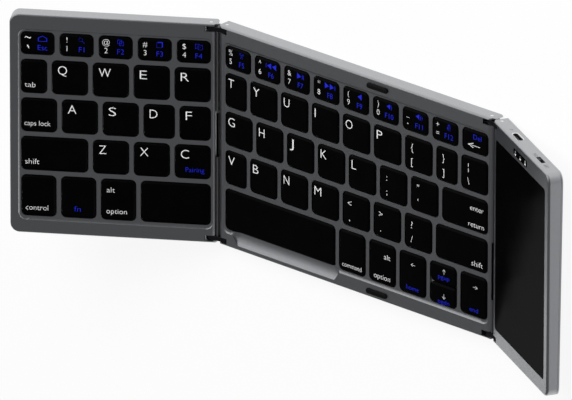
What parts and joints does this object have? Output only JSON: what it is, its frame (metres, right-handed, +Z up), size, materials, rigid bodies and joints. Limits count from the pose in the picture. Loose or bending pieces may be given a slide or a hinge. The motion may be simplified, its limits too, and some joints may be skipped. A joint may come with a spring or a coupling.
{
  "type": "folding keyboard",
  "caption": "Three-panel folding keyboard with a touchpad wing, double-pivot hinges and sprung keys, shown half open on its feet.",
  "frame": {"origin": "on the standing surface, under the middle of the half-open outline", "axes": "+Z up from the feet, +X from the left key wing to the touchpad wing, +Y to the rear edge with the charging port"},
  "size_m": [0.2866, 0.098, 0.0558],
  "materials": {
    "case": "fine bead-blasted, dark grey anodised",
    "keycap": "matt black with a slight sheen",
    "pressed_steel": "bright pressed steel",
    "pin_steel": "turned steel",
    "hinge_metal": "black oxide",
    "hinge_plastic": "matt black moulded plastic",
    "rubber": "soft matt black",
    "silicone": "milky silicone",
    "film": "thin printed film",
    "touch_glass": "polished black",
    "window_plastic": "polished black",
    "circuit_board": "green solder mask",
    "battery_foil": "dull foil pouch",
    "knob_plastic": "satin grey"
  },
  "bodies": {
    "centre": {"centre_top_case": "case", "centre_bottom_cover": "case", "centre_support_plate": "pressed_steel", "centre_key_membrane": "film", "centre_rubber_domes": "silicone", "centre_hinge_pins": "pin_steel", "centre_screws": "pin_steel", "centre_feet": "rubber", "seam_bumpers": "rubber"},
    "left_links": {"left_hinge_links": "hinge_metal", "left_hinge_spine": "hinge_plastic"},
    "left_wing": {"left_top_case": "case", "left_bottom_cover": "case", "left_support_plate": "pressed_steel", "left_key_membrane": "film", "left_rubber_domes": "silicone", "left_hinge_pins": "pin_steel", "left_screws": "pin_steel", "left_feet": "rubber"},
    "right_links": {"right_hinge_links": "hinge_metal", "right_hinge_spine": "hinge_plastic"},
    "right_wing": {"right_top_case": "case", "right_bottom_cover": "case", "touchpad_glass": "touch_glass", "touchpad_board": "circuit_board", "main_board": "circuit_board", "battery": "battery_foil", "charging_socket": "pressed_steel", "indicator_window": "window_plastic", "power_switch": "hinge_plastic", "right_hinge_pins": "pin_steel", "right_screws": "pin_steel", "right_feet": "rubber"},
    "power_knob": {"power_switch_knob": "knob_plastic"},
    "left_number_key_set": {"left_number_keys": "keycap"},
    "left_top_letter_key_set": {"left_top_letter_keys": "keycap"},
    "left_home_letter_key_set": {"left_home_letter_keys": "keycap"},
    "left_bottom_letter_key_set": {"left_bottom_letter_keys": "keycap"},
    "tab_key_cap": {"tab_key": "keycap"},
    "caps_lock_key_cap": {"caps_lock_key": "keycap"},
    "left_shift_key_cap": {"left_shift_key": "keycap"},
    "control_key_cap": {"control_key": "keycap"},
    "function_key_cap": {"function_key": "keycap"},
    "left_alt_key_cap": {"left_alt_key": "keycap"},
    "left_space_bar_cap": {"left_space_bar": "keycap"},
    "centre_number_key_set": {"centre_number_keys": "keycap"},
    "backspace_key_cap": {"backspace_key": "keycap"},
    "centre_top_letter_key_set": {"centre_top_letter_keys": "keycap"},
    "bracket_key_set": {"bracket_keys": "keycap"},
    "centre_home_key_set": {"centre_home_keys": "keycap"},
    "enter_key_cap": {"enter_key": "keycap"},
    "centre_bottom_key_set": {"centre_bottom_keys": "keycap"},
    "right_shift_key_cap": {"right_shift_key": "keycap"},
    "right_space_bar_cap": {"right_space_bar": "keycap"},
    "meta_key_cap": {"meta_key": "keycap"},
    "right_alt_key_cap": {"right_alt_key": "keycap"},
    "arrow_left_key_cap": {"arrow_left_key": "keycap"},
    "arrow_up_key_cap": {"arrow_up_key": "keycap"},
    "arrow_down_key_cap": {"arrow_down_key": "keycap"},
    "arrow_right_key_cap": {"arrow_right_key": "keycap"}
  },
  "joints": [
    {"name": "left_link_hinge", "type": "hinge", "parent": "centre", "child": "left_links", "pos_m": [-0.06502, 0, 0.0044], "axis": [0, 1, 0], "range_deg": [-17.1, 72.9]},
    {"name": "left_wing_hinge", "type": "hinge", "parent": "left_links", "child": "left_wing", "pos_m": [-0.0719, 0, 0.00652], "axis": [0, 1, 0], "range_deg": [-17.1, 72.9]},
    {"name": "right_link_hinge", "type": "hinge", "parent": "centre", "child": "right_links", "pos_m": [0.08068, 0, 0.0044], "axis": [0, -1, 0], "range_deg": [-14, 76]},
    {"name": "right_wing_hinge", "type": "hinge", "parent": "right_links", "child": "right_wing", "pos_m": [0.08767, 0, 0.00614], "axis": [0, -1, 0], "range_deg": [-14, 76]},
    {"name": "power_knob_slide", "type": "slide", "parent": "right_wing", "child": "power_knob", "axis": [0.8829, 0, 0.4695], "range_m": [0, 0.0037]},
    {"name": "left_number_press", "type": "slide", "parent": "left_wing", "child": "left_number_key_set", "axis": [-0.5621, 0, -0.8271], "range_m": [0, 0.0012], "stiffness_N_per_m": 1500, "springref_m": -0.002},
    {"name": "left_top_letter_press", "type": "slide", "parent": "left_wing", "child": "left_top_letter_key_set", "axis": [-0.5621, 0, -0.8271], "range_m": [0, 0.0012], "stiffness_N_per_m": 1200, "springref_m": -0.002},
    {"name": "left_home_letter_press", "type": "slide", "parent": "left_wing", "child": "left_home_letter_key_set", "axis": [-0.5621, 0, -0.8271], "range_m": [0, 0.0012], "stiffness_N_per_m": 1200, "springref_m": -0.002},
    {"name": "left_bottom_letter_press", "type": "slide", "parent": "left_wing", "child": "left_bottom_letter_key_set", "axis": [-0.5621, 0, -0.8271], "range_m": [0, 0.0012], "stiffness_N_per_m": 900, "springref_m": -0.002},
    {"name": "tab_press", "type": "slide", "parent": "left_wing", "child": "tab_key_cap", "axis": [-0.5621, 0, -0.8271], "range_m": [0, 0.0012], "stiffness_N_per_m": 300, "springref_m": -0.002},
    {"name": "caps_lock_press", "type": "slide", "parent": "left_wing", "child": "caps_lock_key_cap", "axis": [-0.5621, 0, -0.8271], "range_m": [0, 0.0012], "stiffness_N_per_m": 300, "springref_m": -0.002},
    {"name": "left_shift_press", "type": "slide", "parent": "left_wing", "child": "left_shift_key_cap", "axis": [-0.5621, 0, -0.8271], "range_m": [0, 0.0012], "stiffness_N_per_m": 300, "springref_m": -0.002},
    {"name": "control_press", "type": "slide", "parent": "left_wing", "child": "control_key_cap", "axis": [-0.5621, 0, -0.8271], "range_m": [0, 0.0012], "stiffness_N_per_m": 300, "springref_m": -0.002},
    {"name": "function_press", "type": "slide", "parent": "left_wing", "child": "function_key_cap", "axis": [-0.5621, 0, -0.8271], "range_m": [0, 0.0012], "stiffness_N_per_m": 300, "springref_m": -0.002},
    {"name": "left_alt_press", "type": "slide", "parent": "left_wing", "child": "left_alt_key_cap", "axis": [-0.5621, 0, -0.8271], "range_m": [0, 0.0012], "stiffness_N_per_m": 300, "springref_m": -0.002},
    {"name": "left_space_bar_press", "type": "slide", "parent": "left_wing", "child": "left_space_bar_cap", "axis": [-0.5621, 0, -0.8271], "range_m": [0, 0.0012], "stiffness_N_per_m": 300, "springref_m": -0.002},
    {"name": "centre_number_press", "type": "slide", "parent": "centre", "child": "centre_number_key_set", "axis": [0, 0, -1], "range_m": [0, 0.0012], "stiffness_N_per_m": 2400, "springref_m": -0.002},
    {"name": "backspace_press", "type": "slide", "parent": "centre", "child": "backspace_key_cap", "axis": [0, 0, -1], "range_m": [0, 0.0012], "stiffness_N_per_m": 300, "springref_m": -0.002},
    {"name": "centre_top_letter_press", "type": "slide", "parent": "centre", "child": "centre_top_letter_key_set", "axis": [0, 0, -1], "range_m": [0, 0.0012], "stiffness_N_per_m": 1800, "springref_m": -0.002},
    {"name": "bracket_press", "type": "slide", "parent": "centre", "child": "bracket_key_set", "axis": [0, 0, -1], "range_m": [0, 0.0012], "stiffness_N_per_m": 900, "springref_m": -0.002},
    {"name": "centre_home_press", "type": "slide", "parent": "centre", "child": "centre_home_key_set", "axis": [0, 0, -1], "range_m": [0, 0.0012], "stiffness_N_per_m": 2100, "springref_m": -0.002},
    {"name": "enter_press", "type": "slide", "parent": "centre", "child": "enter_key_cap", "axis": [0, 0, -1], "range_m": [0, 0.0012], "stiffness_N_per_m": 300, "springref_m": -0.002},
    {"name": "centre_bottom_press", "type": "slide", "parent": "centre", "child": "centre_bottom_key_set", "axis": [0, 0, -1], "range_m": [0, 0.0012], "stiffness_N_per_m": 2100, "springref_m": -0.002},
    {"name": "right_shift_press", "type": "slide", "parent": "centre", "child": "right_shift_key_cap", "axis": [0, 0, -1], "range_m": [0, 0.0012], "stiffness_N_per_m": 300, "springref_m": -0.002},
    {"name": "right_space_bar_press", "type": "slide", "parent": "centre", "child": "right_space_bar_cap", "axis": [0, 0, -1], "range_m": [0, 0.0012], "stiffness_N_per_m": 300, "springref_m": -0.002},
    {"name": "meta_press", "type": "slide", "parent": "centre", "child": "meta_key_cap", "axis": [0, 0, -1], "range_m": [0, 0.0012], "stiffness_N_per_m": 300, "springref_m": -0.002},
    {"name": "right_alt_press", "type": "slide", "parent": "centre", "child": "right_alt_key_cap", "axis": [0, 0, -1], "range_m": [0, 0.0012], "stiffness_N_per_m": 300, "springref_m": -0.002},
    {"name": "arrow_left_press", "type": "slide", "parent": "centre", "child": "arrow_left_key_cap", "axis": [0, 0, -1], "range_m": [0, 0.0012], "stiffness_N_per_m": 300, "springref_m": -0.002},
    {"name": "arrow_up_press", "type": "slide", "parent": "centre", "child": "arrow_up_key_cap", "axis": [0, 0, -1], "range_m": [0, 0.0012], "stiffness_N_per_m": 300, "springref_m": -0.002},
    {"name": "arrow_down_press", "type": "slide", "parent": "centre", "child": "arrow_down_key_cap", "axis": [0, 0, -1], "range_m": [0, 0.0012], "stiffness_N_per_m": 300, "springref_m": -0.002},
    {"name": "arrow_right_press", "type": "slide", "parent": "centre", "child": "arrow_right_key_cap", "axis": [0, 0, -1], "range_m": [0, 0.0012], "stiffness_N_per_m": 300, "springref_m": -0.002}
  ],
  "couplings": [
    {"joint": "left_link_hinge", "follows": "left_wing_hinge", "ratio": 1},
    {"joint": "right_link_hinge", "follows": "right_wing_hinge", "ratio": 1}
  ]
}
